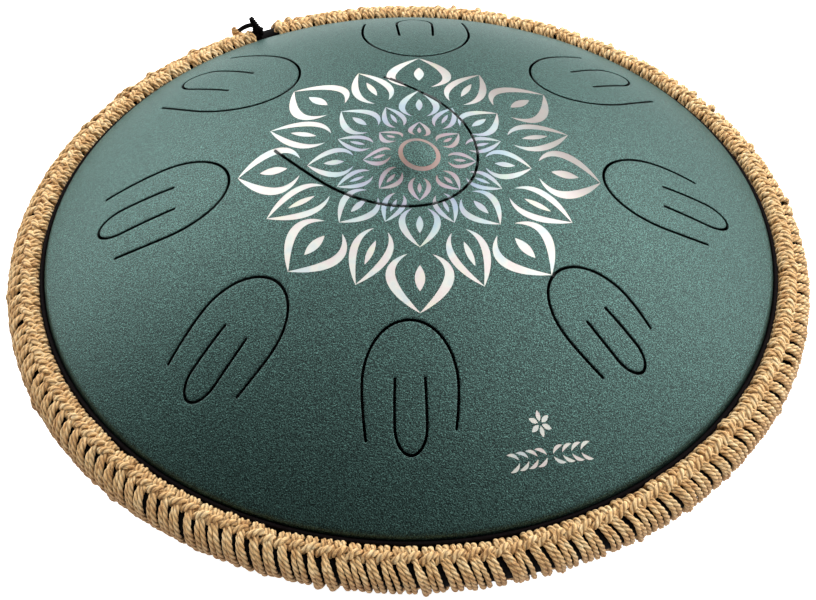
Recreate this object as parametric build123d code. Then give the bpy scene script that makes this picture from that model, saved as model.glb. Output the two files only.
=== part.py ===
from build123d import *
import math
import os

# Slotted steel tongue drum of the handpan family, in millimetres.
# Frame: +Z up, origin at the bottom centre, on the surface that the drum stands on.
# +Y is the far side as played, -Y is the near side. Profiles are drawn as (radius, height above
# the flange mid-plane) and revolved about Z.

# --- driving dimensions -------------------------------------------------------------------
FLANGE_RADIUS = 200.0          # nominal 400 mm (16 inch) drum
SHEET = 1.8                    # steel thickness of both shells
BOND = 0.6                     # adhesive layer between the two flanges
TOP_RISE = 85.0                # top of the upper bowl's sphere above the flange mid-plane
BOTTOM_DEPTH = 80.0            # resting land of the resonator below the flange mid-plane
BOWL_RADIUS = 276.0            # spherical radius of both bowls
WALL_RADIUS = 185.0            # upright wall just inside the flange
KNUCKLE = 5.0                  # outer radius of the bend from bowl to wall
FOOT_FILLET = 2.0              # radius of the bend from wall to flange
DOME_FOOT = 26.0               # radius of the raised dome in the middle of the upper bowl
DOME_CROWN = 31.0              # spherical radius of its crown
DOME_FILLET = 40.0             # bend between the dome and the bowl

LAND_RADIUS = 66.0             # outer radius of the flat land around the port
LAND_BLEND = 40.0              # bend between the bowl and that land
PORT_RADIUS = 50.0             # clear radius of the sound port
PORT_BEND = 6.0                # rolled edge of the port
NECK_HEIGHT = 20.0             # height of the port's neck above the land

SLOT_WIDTH = 1.3               # laser-cut gap round every tongue
CROWN_DEPTH = 1.34             # depth of a tongue's rounded end, as a share of its half width
LEG_TAPER = 0.065              # how far the legs of a slot close in again, same share
LEG_STEP = 4.0                 # the clockwise leg of a slot is cut this much longer
OCTAVE_WIDTH = 0.335           # width of the octave tongue inside each note tongue
OCTAVE_CROWN = 1.5             # depth of its rounded end, as a share of its own half width

# The eight outer notes: azimuth, radius of the tip, clockwise shift of the tip, lean in degrees,
# half width, mean radius of the leg ends, and the octave tongue's base and tip radii.
NOTES = (
    (0, 97.0, -2.5, 0.0, 22.6, 147.0, 128.0, 161.0),
    (45, 97.0, 0.0, 0.8, 25.7, 154.0, 127.5, 161.5),
    (90, 90.0, 5.5, -2.4, 28.0, 152.0, 121.0, 159.0),
    (135, 88.0, 0.5, -2.6, 29.4, 155.0, 122.0, 163.0),
    (180, 89.0, -1.5, -4.3, 24.5, 149.5, 117.0, 156.0),
    (225, 95.0, -4.5, -3.9, 22.2, 148.0, 124.0, 158.5),
    (270, 96.0, 0.0, -1.1, 22.9, 146.3, 123.0, 155.0),
    (315, 96.0, -5.3, -0.9, 20.9, 142.0, 122.0, 152.5),
)
CENTRE_AZIMUTH = 135           # direction in which the root of the centre tongue lies
CENTRE_TIP = -34.8             # tip of the centre tongue along that direction
CENTRE_HALF_WIDTH = 41.0
CENTRE_LEG_END = 55.4

BUMPER_INNER = 188.6           # rubber edge channel around the flange
BUMPER_OUTER = 201.8
BUMPER_HEIGHT = 15.4
BUMPER_ROUND = 6.5
ROPE = 3.2                     # thickness of one rope strand
KNOT_RADIUS = 3.2              # half thickness of the chain of knots
KNOT_RING = 191.0              # radius of the chain's centre line
KNOT_HEIGHT = 10.1             # its height above and below the flange mid-plane
CLEARANCE = 0.05               # fit between the rope, its knots and the rubber

GAP_AZIMUTH = 114.0            # where the binding starts and ends
GAP_ANGLE = 4.0                # width of that gap in degrees
DRAW_CORD = 2.4                # diameter of the cords that pull the binding tight
DRAW_RING = 186.5
DRAW_HEIGHT = 10.2

# The tie. Places are (radius, azimuth in degrees, height above the flange mid-plane).
TIE_KNOT = (7.0, 7.0, 9.0)     # size of the knot along the rim, across it and upwards
KNOT_PLACE = (194.0, 114.9)    # radius and azimuth of the knot, which sits on the rubber
LOOP_CORD = 2.8                # thickness of the doubled end that stands up
LOOP_LINE = ((194.3, 115.2, 16.8), (194.6, 115.7, 19.3), (195.0, 116.05, 22.2))
LOOP_BEND = 8.0
TAIL_CORD = 2.2                # thickness of the end that arches over the binding
TAIL_LINE = ((196.5, 115.75, 15.4), (199.6, 116.25, 13.0), (202.5, 116.6, 9.9), (205.5, 117.0, 6.0))
TAIL_BEND = 6.0
ROPE_END_BASE = (200.8, 118.2, 10.3)
ROPE_END_TIP = (201.3, 118.4, 14.3)

MID_Z = BOTTOM_DEPTH           # height of the flange mid-plane in the part's frame
FLANGE_FACE = BOND / 2 + SHEET


def polar(radius, azimuth, height):
    """A point from its radius, azimuth in degrees and height above the flange mid-plane."""
    angle = math.radians(azimuth)
    return Vector(radius * math.cos(angle), radius * math.sin(angle), MID_Z + height)


def arc(centre, radius, start, end):
    """A profile arc about a centre, from one angle to another, in degrees."""
    points = []
    for angle in (start, (start + end) / 2, end):
        turn = math.radians(angle)
        points.append((centre[0] + radius * math.cos(turn), centre[1] + radius * math.sin(turn)))
    return ThreePointArc(*points)


def revolved(edges):
    """Revolve a closed profile, drawn as (radius, height), about the drum's axis."""
    face = make_face(edges)
    solid = revolve(Plane.XZ * face, Axis.Z, 360)
    return Pos(0, 0, MID_Z) * solid


def closed(*parts):
    """Join arcs in order with straight lines, and close the outline."""
    edges = []
    for index, part in enumerate(parts):
        following = parts[(index + 1) % len(parts)]
        start = part @ 1
        end = following @ 0
        edges.append(part)
        if (start - end).length > 1e-6:
            edges.append(Line(start, end))
    return edges


def bowl_rim(centre_height, flip):
    """Centre of the knuckle between bowl and wall, centre of the foot fillet between wall and
    flange, and the angle from the axis at which the bowl runs into the knuckle."""
    reach = BOWL_RADIUS - KNUCKLE
    run = WALL_RADIUS - KNUCKLE
    knuckle_height = centre_height + math.sqrt(reach ** 2 - run ** 2)
    tangent = math.degrees(math.asin(run / reach))
    knuckle = (run, flip * knuckle_height)
    foot = (WALL_RADIUS + FOOT_FILLET, flip * (FLANGE_FACE + FOOT_FILLET))
    return knuckle, foot, tangent


def bowl_profile(centre_height, flip, inner_end):
    """Outer and inner arcs of a bowl, from its middle out to the flange and back."""
    knuckle, foot, tangent = bowl_rim(centre_height, flip)
    centre = (0, flip * centre_height)
    meet = flip * (90 - tangent)
    outward = [
        arc(centre, BOWL_RADIUS, flip * inner_end, meet),
        arc(knuckle, KNUCKLE, meet, 0),
        arc(foot, FOOT_FILLET, flip * 180, flip * 270),
    ]
    edge = Line((FLANGE_RADIUS, flip * FLANGE_FACE), (FLANGE_RADIUS, flip * BOND / 2))
    inward = [
        arc(foot, FOOT_FILLET + SHEET, flip * 270, flip * 180),
        arc(knuckle, KNUCKLE - SHEET, 0, meet),
        arc(centre, BOWL_RADIUS - SHEET, meet, flip * inner_end),
    ]
    return outward, edge, inward


def half_ellipse(shoulder, depth, half_width, way):
    """The rounded end of a slot, with its tip on -X for way 1 and on +X for way -1."""
    return EllipticalCenterArc(
        (shoulder, 0), depth, half_width, start_angle=90 * way, arc_size=180
    )


def slot_face(tip, half_width, leg_ends, crown, way):
    """A slot round a tongue: a half ellipse at the tongue's tip and two legs that close in.

    It is drawn along X with the clockwise side on -Y. leg_ends are the legs' ends on +Y and -Y."""
    shoulder = tip + way * crown * half_width
    rim = SLOT_WIDTH / 2
    edges = [
        half_ellipse(shoulder, crown * half_width + grow, half_width + grow, way)
        for grow in (-rim, rim)
    ]
    for side, leg_end in zip((1, -1), leg_ends):
        close = half_width * (1 - LEG_TAPER)
        for grow in (-rim, rim):
            start = (shoulder, side * (half_width + grow))
            end = (leg_end, side * (close + grow))
            edges.append(TangentArc(start, end, tangent=(way, 0)))
        round_end = [(leg_end, close - rim), (leg_end + way * rim, close), (leg_end, close + rim)]
        edges.append(ThreePointArc(*[(x, side * y) for x, y in round_end]))
    return make_face(edges)


def slot_cutter(face):
    """A slot's outline raised through the whole upper bowl."""
    return Pos(0, 0, MID_Z) * extrude(face, amount=TOP_RISE + SHEET)


def note_cutters(azimuth, tip, shift, lean, half_width, leg_end, octave_base, octave_tip):
    """The two slots of one outer note: the tongue itself and the octave tongue in it."""
    legs = (leg_end - LEG_STEP / 2 - tip, leg_end + LEG_STEP / 2 - tip)
    octave_legs = (octave_base - tip, octave_base - tip)
    octave_half = half_width * OCTAVE_WIDTH
    note = slot_face(0, half_width, legs, CROWN_DEPTH, 1)
    octave = slot_face(octave_tip - tip, octave_half, octave_legs, OCTAVE_CROWN, -1)
    place = Rot(0, 0, azimuth) * Pos(tip, -shift, 0) * Rot(0, 0, -lean)
    return [place * slot_cutter(face) for face in (note, octave)]


def centre_cutter():
    """The slot of the large centre tongue."""
    legs = (CENTRE_LEG_END, CENTRE_LEG_END)
    face = slot_face(CENTRE_TIP, CENTRE_HALF_WIDTH, legs, CROWN_DEPTH, 1)
    return Rot(0, 0, CENTRE_AZIMUTH) * slot_cutter(face)


def centre_dome(bowl_centre, foot_angle):
    """Inner and outer arcs of the raised dome in the middle, from its foot inward and back."""
    turn = math.radians(foot_angle)
    reach = BOWL_RADIUS + DOME_FILLET
    fillet = (reach * math.cos(turn), bowl_centre + reach * math.sin(turn))
    drop = math.sqrt((DOME_CROWN + DOME_FILLET) ** 2 - fillet[0] ** 2)
    crown = (0, fillet[1] - drop)
    meet = math.degrees(math.atan2(drop, fillet[0]))
    return [
        arc(fillet, DOME_FILLET + SHEET, 180 + foot_angle, 180 + meet),
        arc(crown, DOME_CROWN - SHEET, meet, 90),
        arc(crown, DOME_CROWN, 90, meet),
        arc(fillet, DOME_FILLET, 180 + meet, 180 + foot_angle),
    ]


def tongue_shell():
    """Upper bowl with the nine note tongues and their eight octave tongues cut through it."""
    centre_height = TOP_RISE - BOWL_RADIUS
    foot_angle = math.degrees(math.acos(DOME_FOOT / BOWL_RADIUS))
    outward, edge, inward = bowl_profile(centre_height, 1, foot_angle)
    shell = revolved(closed(*outward, edge, *inward, *centre_dome(centre_height, foot_angle)))
    cutters = [centre_cutter()]
    for note in NOTES:
        cutters.extend(note_cutters(*note))
    for cutter in cutters:
        shell = shell - cutter
    return shell


def resonator_shell():
    """Lower bowl with a flat resting land and the rolled neck of the sound port."""
    rise = math.sqrt((BOWL_RADIUS - LAND_BLEND) ** 2 - LAND_RADIUS ** 2)
    centre_height = BOTTOM_DEPTH - LAND_BLEND - rise
    blend_angle = math.degrees(math.atan2(rise, LAND_RADIUS))
    outward, edge, inward = bowl_profile(centre_height, -1, blend_angle)
    blend = (LAND_RADIUS, LAND_BLEND - BOTTOM_DEPTH)
    bend = (PORT_RADIUS + PORT_BEND, PORT_BEND - BOTTOM_DEPTH)
    neck_top = NECK_HEIGHT - BOTTOM_DEPTH
    neck = [
        arc(blend, LAND_BLEND - SHEET, -blend_angle, -90),
        arc(bend, PORT_BEND - SHEET, 270, 180),
        Line((PORT_RADIUS + SHEET, neck_top), (PORT_RADIUS, neck_top)),
        arc(bend, PORT_BEND, 180, 270),
        arc(blend, LAND_BLEND, -90, -blend_angle),
    ]
    return revolved(closed(*outward, edge, *inward, *neck))


def ring_section(centre_radius, width, height, corner):
    """A rounded rectangle of a ring's section."""
    return Pos(centre_radius, 0) * RectangleRounded(width, height, corner)


def ring(face):
    """Revolve a section about the drum's axis."""
    return Pos(0, 0, MID_Z) * revolve(Plane.XZ * face, Axis.Z, 360)


def flange_bond():
    """Adhesive layer between the two flanges."""
    inner = WALL_RADIUS + FOOT_FILLET
    width = FLANGE_RADIUS - inner
    return ring(Pos(inner + width / 2, 0) * Rectangle(width, BOND))


def bumper_section(grow):
    """Outer shape of the rubber edge, grown by a distance all round."""
    centre = (BUMPER_INNER + BUMPER_OUTER) / 2
    width = BUMPER_OUTER - BUMPER_INNER + 2 * grow
    return ring_section(centre, width, BUMPER_HEIGHT + 2 * grow, BUMPER_ROUND + grow)


def rim_bumper():
    """Rubber channel pushed over the joined flanges."""
    depth = FLANGE_RADIUS - BUMPER_INNER + SHEET
    slot = Pos(FLANGE_RADIUS - depth / 2, 0) * Rectangle(depth, 2 * FLANGE_FACE)
    return ring(bumper_section(0) - slot)


def gap_cutter():
    """The wedge between the first and the last stitch of the binding."""
    reach = FLANGE_RADIUS + BUMPER_HEIGHT
    spread = reach * math.tan(math.radians(GAP_ANGLE / 2))
    corners = [(0, 0), (reach, -spread), (reach, spread)]
    wedge = extrude(make_face(Polyline(*corners, close=True)), amount=2 * MID_Z)
    return Rot(0, 0, GAP_AZIMUTH) * wedge


def rope_wrap():
    """The strands of the binding that run over the edge, as one plain ring of their thickness."""
    inner_limit = KNOT_RING + KNOT_RADIUS + CLEARANCE
    outer = bumper_section(ROPE)
    keep = Pos(inner_limit + FLANGE_RADIUS / 2, 0) * Rectangle(FLANGE_RADIUS, FLANGE_RADIUS)
    section = (outer - bumper_section(CLEARANCE)) & keep
    return ring(section) - gap_cutter()


def knot_chain(side):
    """The chain of knots along one edge of the binding."""
    chain = Pos(0, 0, MID_Z + side * KNOT_HEIGHT) * Torus(KNOT_RING, KNOT_RADIUS)
    return chain - gap_cutter()


def draw_cord(side):
    """The dark cord between the wall and the knots that pulls one edge of the binding tight."""
    return Pos(0, 0, MID_Z + side * DRAW_HEIGHT) * Torus(DRAW_RING, DRAW_CORD / 2)


def tube(points, diameter, radii):
    """A cord along straight runs joined by tangent arcs."""
    path = FilletPolyline(*points, radius=radii)
    start = Plane(path @ 0, z_dir=path % 0)
    return sweep(start * Circle(diameter / 2), path=path)


def rope_tail():
    """The cut end of the rope, standing up from the last stitches."""
    base = polar(*ROPE_END_BASE)
    direction = polar(*ROPE_END_TIP) - base
    stump = Cone(ROPE / 2, ROPE / 3, direction.length, align=(Align.CENTER, Align.CENTER, Align.MIN))
    return Plane(base, z_dir=direction) * stump


def tie_knot():
    """The knot of the tie cord, seated on the rubber in the gap of the binding."""
    length, width, height = TIE_KNOT
    radius, azimuth = KNOT_PLACE
    knot = scale(Sphere(1), by=(width / 2, length / 2, height / 2))
    seat = BUMPER_HEIGHT / 2 + CLEARANCE + height / 2
    return Pos(*polar(radius, azimuth, seat)) * Rot(0, 0, azimuth) * knot


def tie_loop():
    """The doubled end that stands up from the knot."""
    return tube([polar(*place) for place in LOOP_LINE], LOOP_CORD, [LOOP_BEND])


def tie_tail():
    """The end that arches from the knot down over the back of the binding."""
    return tube([polar(*place) for place in TAIL_LINE], TAIL_CORD, [TAIL_BEND, TAIL_BEND])


def nodes():
    """Every sub-part under its node name."""
    return {
        "tongue_shell": tongue_shell(),
        "resonator_shell": resonator_shell(),
        "flange_bond": flange_bond(),
        "rim_bumper": rim_bumper(),
        "rope_wrap": rope_wrap(),
        "upper_knot_chain": knot_chain(1),
        "lower_knot_chain": knot_chain(-1),
        "upper_draw_cord": draw_cord(1),
        "lower_draw_cord": draw_cord(-1),
        "rope_tail": rope_tail(),
        "tie_knot": tie_knot(),
        "tie_loop": tie_loop(),
        "tie_tail": tie_tail(),
    }


os.makedirs("parts", exist_ok=True)
for name, shape in nodes().items():
    export_step(shape, f"parts/{name}.step")
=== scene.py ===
import math

import bmesh
import bpy
import numpy as np
from mathutils import Matrix, Vector
from mathutils.geometry import delaunay_2d_cdt
from mathutils.kdtree import KDTree


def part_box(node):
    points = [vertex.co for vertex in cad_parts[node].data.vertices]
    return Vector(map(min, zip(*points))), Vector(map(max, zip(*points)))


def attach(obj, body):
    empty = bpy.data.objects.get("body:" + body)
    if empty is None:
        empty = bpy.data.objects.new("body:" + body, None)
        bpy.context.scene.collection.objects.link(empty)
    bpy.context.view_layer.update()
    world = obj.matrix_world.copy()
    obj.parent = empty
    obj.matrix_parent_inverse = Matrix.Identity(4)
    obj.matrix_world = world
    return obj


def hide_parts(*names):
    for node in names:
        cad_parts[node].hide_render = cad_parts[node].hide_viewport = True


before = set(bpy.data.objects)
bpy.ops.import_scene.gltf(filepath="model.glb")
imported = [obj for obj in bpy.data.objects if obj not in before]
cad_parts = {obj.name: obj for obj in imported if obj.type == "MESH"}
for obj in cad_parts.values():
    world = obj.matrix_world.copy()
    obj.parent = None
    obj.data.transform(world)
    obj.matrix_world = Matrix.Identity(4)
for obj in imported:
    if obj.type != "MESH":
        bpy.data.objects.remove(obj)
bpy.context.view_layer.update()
MM = 0.001

# --- sizes, in millimetres, that repeat the CAD model's ---
SHEET = 1.8
BOND = 0.6                     # adhesive between the flanges
BOWL_RADIUS = 276.0
TOP_RISE = 85.0                # top of the upper bowl's sphere above the flange mid-plane
BOWL_CENTRE = TOP_RISE - BOWL_RADIUS
WALL_RADIUS = 185.0
KNUCKLE = 5.0                  # bend from bowl to wall
FOOT_FILLET = 2.0              # bend from wall to flange
DOME_FOOT = 26.0
DOME_CROWN = 31.0
DOME_FILLET = 40.0
LAND_RADIUS = 66.0
LAND_BLEND = 40.0
PORT_RADIUS = 50.0
PORT_BEND = 6.0
NECK_HEIGHT = 20.0
BUMPER_INNER = 188.6
BUMPER_OUTER = 201.8
BUMPER_HEIGHT = 15.4
BUMPER_ROUND = 6.5
GAP_AZIMUTH = 114.0            # where the rope binding starts and ends
GAP_ANGLE = 4.0
SLOT_WIDTH = 1.3
CROWN_DEPTH = 1.34             # depth of a note's rounded end, as a share of its half width
LEG_TAPER = 0.065              # how far a slot's legs close in again, same share
LEG_STEP = 4.0                 # how much longer the clockwise leg is
OCTAVE_WIDTH = 0.335           # an octave tongue's width, as a share of its note's
OCTAVE_CROWN = 1.5             # depth of its rounded end, as a share of its own half width

# The eight outer notes: azimuth, radius of the tip, clockwise shift of the tip, lean in degrees,
# half width, mean radius of the leg ends, and the octave tongue's base and tip radii.
NOTES = (
    (0, 97.0, -2.5, 0.0, 22.6, 147.0, 128.0, 161.0),
    (45, 97.0, 0.0, 0.8, 25.7, 154.0, 127.5, 161.5),
    (90, 90.0, 5.5, -2.4, 28.0, 152.0, 121.0, 159.0),
    (135, 88.0, 0.5, -2.6, 29.4, 155.0, 122.0, 163.0),
    (180, 89.0, -1.5, -4.3, 24.5, 149.5, 117.0, 156.0),
    (225, 95.0, -4.5, -3.9, 22.2, 148.0, 124.0, 158.5),
    (270, 96.0, 0.0, -1.1, 22.9, 146.3, 123.0, 155.0),
    (315, 96.0, -5.3, -0.9, 20.9, 142.0, 122.0, 152.5),
)
CENTRE_NOTE = (135, -34.8, 41.0, 55.4)     # azimuth of its root, tip, half width, leg end

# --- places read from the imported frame, in millimetres ---
SHELL_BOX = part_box("tongue_shell")
BOND_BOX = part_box("flange_bond")
FLANGE_RADIUS = round(SHELL_BOX[1][0] / MM)
MID_Z = (BOND_BOX[0][2] + BOND_BOX[1][2]) / 2 / MM
FLANGE_FACE = BOND / 2 + SHEET

# --- the engraved pattern, in millimetres from its own centre ---
PATTERN_CENTRE = (5.4, -3.0)
PATTERN_RADIUS = 90.0
PATTERN_FOLD = 8
PATTERN_DEPTH = 0.04
TINT_AND_REFLECTION_WAY = (0.80, 0.60)        # the side of the pattern with the brown colour, heat tint and painted reflection

# A plain lotus in regular tiers of equal petals: the share of a petal's turn that a tier is set
# off by, its petals' tip and foot radius, half width, outline width and the leaf's width inside.
PETAL_TIERS = (
    (0.0, 90.0, 59.0, 13.2, 4.8, 5.0),
    (0.5, 81.0, 49.0, 7.9, 3.8, 3.2),
    (0.0, 55.5, 32.5, 8.0, 3.4, 3.4),
    (0.5, 44.0, 25.5, 4.3, 2.6, 2.0),
    (0.0, 28.0, 14.0, 4.2, 2.4, 2.0),
)
TIP_OVERLAP = 0.3              # how far a petal's two outlines pass each other at its tip
PETAL_SIDE = ((0.35, 1.0), (0.75, 1.6), (1.0, 0.45))    # then shares of length and half width
LEAF_SPAN = (0.36, 0.80)       # where the leaf starts and ends, as a share of the petal's length
PATTERN_RING = (8.2, 10.4)     # inner and outer radius of the ring at the pattern's centre

# A small sprig of leaves near the front rim: radius, azimuth and turn.
SPRIG = (164.0, 294.0, 17.0)
SPRIG_LEAVES = 4
SPRIG_STEP = 4.6
SPRIG_LEAF = ((1.6, 0.5), (2.8, 2.6), (4.6, 3.3), (7.0, 3.4))
SPRIG_LEAF_WIDTH = 1.5
SPRIG_ROSETTE = (-1.0, 13.0)   # the rosette's middle, seen from the leaves'
SPRIG_PETALS = 6
ROSETTE_RUN = (1.0, 2.4, 4.0, 5.6)     # distances of a petal's points from that middle
ROSETTE_WIDTH = 2.2

# --- camera ---
CAMERA_RISE = 11.0             # height of the aimed plane above the flange mid-plane
CAMERA_DISTANCE = 1602.6
CAMERA_ELEVATION = 45.28       # degrees
CAMERA_ROLL = 0.12             # degrees
CAMERA_LENS = 138.73
SENSOR_WIDTH = 36.0
CAMERA_DROP = 0.727            # degrees that the lens points below the aimed centre
CAMERA_PAN = 0.0125            # degrees that it points to the left of it


def add_object(name, data):
    """Put data into the scene as an object."""
    added = bpy.data.objects.new(name, data)
    bpy.context.scene.collection.objects.link(added)
    return added


def add_camera():
    """The camera, above and in front of the drum, pointing a little below its middle."""
    centre = Vector((0, 0, MID_Z + CAMERA_RISE))
    tilt = math.radians(CAMERA_ELEVATION)
    away = Vector((0, -math.cos(tilt), math.sin(tilt)))
    right = Vector((1, 0, 0))
    up = right.cross(-away)
    turn = Matrix.Rotation(math.radians(-CAMERA_ROLL), 3, away)
    right, up = turn @ right, turn @ up
    drop = Matrix.Rotation(math.radians(-CAMERA_DROP), 3, right)
    pan = Matrix.Rotation(math.radians(CAMERA_PAN), 3, up)
    axes = [pan @ drop @ axis for axis in (right, up, away)]
    camera = add_object("camera", bpy.data.cameras.new("camera"))
    camera.matrix_world = Matrix.Translation((centre + away * CAMERA_DISTANCE) * MM) @ (
        Matrix(axes).transposed().to_4x4()
    )
    camera.data.sensor_width = SENSOR_WIDTH
    camera.data.lens = CAMERA_LENS
    camera.data.clip_end = 100.0
    bpy.context.scene.camera = camera



# --- shader helpers ---
def new_material(name, fixed):
    """A material with only its Principled shader, and that shader with its fixed settings."""
    material = bpy.data.materials.new(name)
    material.use_nodes = True
    shader = material.node_tree.nodes["Principled BSDF"]
    for socket, value in fixed.items():
        shader.inputs[socket].default_value = value
    return material, shader


def add_node(material, kind, inputs=None, **settings):
    """A node with its settings, its input values, and links for inputs that are sockets."""
    node = material.node_tree.nodes.new(kind)
    for key, value in settings.items():
        setattr(node, key, value)
    for key, value in (inputs or {}).items():
        if isinstance(value, bpy.types.NodeSocket):
            material.node_tree.links.new(value, node.inputs[key])
        else:
            node.inputs[key].default_value = value
    return node


def link(material, source, target):
    """Link one socket to another."""
    material.node_tree.links.new(source, target)


def object_coordinates(material):
    """The coordinates of the piece's own frame, which is the CAD frame, in metres."""
    return add_node(material, "ShaderNodeTexCoord").outputs["Object"]


def noise(material, vector, scale, detail=3.0, roughness=0.5, distortion=0.0):
    """A noise value from 0 to 1."""
    inputs = {"Vector": vector, "Scale": scale, "Detail": detail, "Roughness": roughness}
    inputs["Distortion"] = distortion
    return add_node(material, "ShaderNodeTexNoise", inputs).outputs["Fac"]


def math_node(material, operation, first, second=0.0):
    """One arithmetic step on values."""
    node = add_node(material, "ShaderNodeMath", {0: first, 1: second}, operation=operation)
    return node.outputs[0]


def weighted_sum(material, *terms):
    """The sum of values, each given with its weight."""
    parts = [math_node(material, "MULTIPLY", value, weight) for value, weight in terms]
    total = parts[0]
    for part in parts[1:]:
        total = math_node(material, "ADD", total, part)
    return total


def vector_math(material, operation, *vectors):
    """One step on vectors. A length or a dot product gives a value."""
    node = add_node(material, "ShaderNodeVectorMath", dict(enumerate(vectors)), operation=operation)
    return node.outputs["Value" if operation in ("LENGTH", "DOT_PRODUCT") else "Vector"]


def height_in(material, vector):
    """The third part of a vector."""
    return add_node(material, "ShaderNodeSeparateXYZ", {"Vector": vector}).outputs["Z"]


def map_range(material, value, start, end, low, high, kind="SMOOTHSTEP"):
    """A value taken from one range to another, with soft ends unless the kind is LINEAR."""
    inputs = {"Value": value, "From Min": start, "From Max": end, "To Min": low, "To Max": high}
    node = add_node(material, "ShaderNodeMapRange", inputs, interpolation_type=kind)
    return node.outputs["Result"]


def ramp(material, factor, stops):
    """A colour ramp. stops are (position, (r, g, b)) pairs."""
    node = add_node(material, "ShaderNodeValToRGB", {"Fac": factor})
    elements = node.color_ramp.elements
    while len(elements) < len(stops):
        elements.new(0.5)
    for element, (position, colour) in zip(elements, stops):
        element.position = position
        element.color = (*colour, 1.0)
    return node.outputs["Color"]


def mix_colour(material, factor, first, second, blend="MIX"):
    """Mix two colours, each a socket or (r, g, b)."""
    first, second = [
        colour if isinstance(colour, bpy.types.NodeSocket) else (*colour, 1.0)
        for colour in (first, second)
    ]
    inputs = {0: factor, 6: first, 7: second}
    node = add_node(material, "ShaderNodeMix", inputs, data_type="RGBA", blend_type=blend)
    return node.outputs[2]


def bump(material, shader, height, distance, strength):
    """Bump the shader's normal by a height, with its full depth in metres."""
    inputs = {"Height": height, "Distance": distance, "Strength": strength}
    node = add_node(material, "ShaderNodeBump", inputs)
    link(material, node.outputs["Normal"], shader.inputs["Normal"])


# --- materials ---
WALL_RISE = (9.5, 12.2)        # heights from the flange between which the painted shade low on the bowls' walls fades out
UNDERSIDE_SHADE_HEIGHTS = (-5.0, 9.0)     # heights between which the painted shade on the rope's underside fades out
UNDERSIDE_SHADE_SHARE = 0.65              # how far that painted shade darkens the rope at its underside


def coated_steel():
    """Teal wrinkle coat with fine metallic flake: leathery bumps about 1 mm across."""
    fixed = {
        "Metallic": 0.75,
        "Specular Tint": (0.45, 0.60, 0.57, 1.0),
        "Coat Weight": 0.2,
        "Coat Roughness": 0.4,
    }
    material, shader = new_material("coated_steel", fixed)
    place = object_coordinates(material)
    warp = add_node(material, "ShaderNodeTexNoise", {"Vector": place, "Scale": 500.0, "Detail": 2.0})
    bend = vector_math(material, "MULTIPLY", warp.outputs["Color"], (0.0011, 0.0011, 0.0011))
    moved = vector_math(material, "ADD", place, bend)
    cell_inputs = {"Vector": moved, "Scale": 1100.0, "Smoothness": 0.5}
    cells = add_node(material, "ShaderNodeTexVoronoi", cell_inputs, feature="SMOOTH_F1")
    grain = noise(material, place, 1700.0, 2.0, 0.6)
    wrinkle = noise(material, moved, 700.0, 3.0, 0.6, 0.6)
    height = weighted_sum(material, (cells.outputs["Distance"], -1.1), (grain, 0.55), (wrinkle, 0.8))
    bump(material, shader, height, 0.00020, 0.9)
    cloud = noise(material, place, 9.0, 3.0, 0.55)
    base = ramp(material, cloud, [(0.3, (0.0215, 0.0485, 0.0437)), (0.7, (0.0250, 0.0545, 0.0490))])
    flake = noise(material, place, 2000.0, 1.0)
    flake_stops = [(0.36, (0.25, 0.25, 0.25)), (0.52, (0.95, 0.95, 0.95)), (0.66, (3.0, 2.9, 2.8))]
    colour = mix_colour(material, 1.0, base, ramp(material, flake, flake_stops), "MULTIPLY")
    # painted shade: the coat turns near black low on the bowls' walls, in the groove under the knots
    above = math_node(material, "SUBTRACT", height_in(material, place), MID_Z * MM)
    above = math_node(material, "ABSOLUTE", above)
    wall = map_range(material, above, WALL_RISE[0] * MM, WALL_RISE[1] * MM, 1.0, 0.0)
    colour = mix_colour(material, wall, colour, (0.003, 0.005, 0.005))
    link(material, colour, shader.inputs["Base Color"])
    rough = map_range(material, grain, 0.35, 0.7, 0.52, 0.40, "LINEAR")
    link(material, rough, shader.inputs["Roughness"])
    return material


def engraved_steel():
    """Bare steel where the coat is cut away, with heat tints that change over the pattern, and painted
    reflection in its rings from a dark brown middle to a pale rim and in the brown on one side.
    """
    material, shader = new_material("engraved_steel", {"Metallic": 0.3})
    place = object_coordinates(material)
    middle = (PATTERN_CENTRE[0] * MM, PATTERN_CENTRE[1] * MM, 0.0)
    per_radius = 1 / (PATTERN_RADIUS * MM)
    out = vector_math(material, "SUBTRACT", place, middle)
    out = vector_math(material, "MULTIPLY", out, (per_radius, per_radius, 0.0))
    wander = noise(material, place, 38.0, 2.0)
    reach = math_node(material, "SUBTRACT", vector_math(material, "LENGTH", out), 0.08)
    ring = weighted_sum(material, (reach, 1.0), (wander, 0.16))
    # heat tint and painted reflection: dark brown in the middle, bluish further out, pale at the rim
    rings = [
        (0.05, (0.17, 0.10, 0.08)),
        (0.15, (0.20, 0.14, 0.13)),
        (0.25, (0.24, 0.21, 0.24)),
        (0.38, (0.23, 0.27, 0.33)),
        (0.50, (0.30, 0.36, 0.36)),
        (0.62, (0.42, 0.43, 0.41)),
        (1.00, (0.52, 0.505, 0.46)),
    ]
    tints = [
        (0.30, (0.74, 0.88, 1.0)),
        (0.45, (0.98, 1.0, 0.98)),
        (0.56, (1.0, 0.86, 0.92)),
        (0.70, (1.0, 1.0, 0.84)),
    ]
    tint = ramp(material, noise(material, place, 95.0, 2.0), tints)
    colour = mix_colour(material, 0.8, ramp(material, ring, rings), tint, "MULTIPLY")
    # heat tint and painted reflection: brown on one side of the pattern
    corner = vector_math(material, "DOT_PRODUCT", out, (*TINT_AND_REFLECTION_WAY, 0.0))
    brown = map_range(material, corner, 0.42, 0.78, 0.0, 0.8)
    colour = mix_colour(material, brown, colour, (0.125, 0.105, 0.095))
    link(material, colour, shader.inputs["Base Color"])
    fine = noise(material, place, 2600.0, 2.0, 0.6)
    rough = map_range(material, fine, 0.3, 0.7, 0.42, 0.55, "LINEAR")
    link(material, rough, shader.inputs["Roughness"])
    bump(material, shader, fine, 0.00003, 0.5)
    return material


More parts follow.
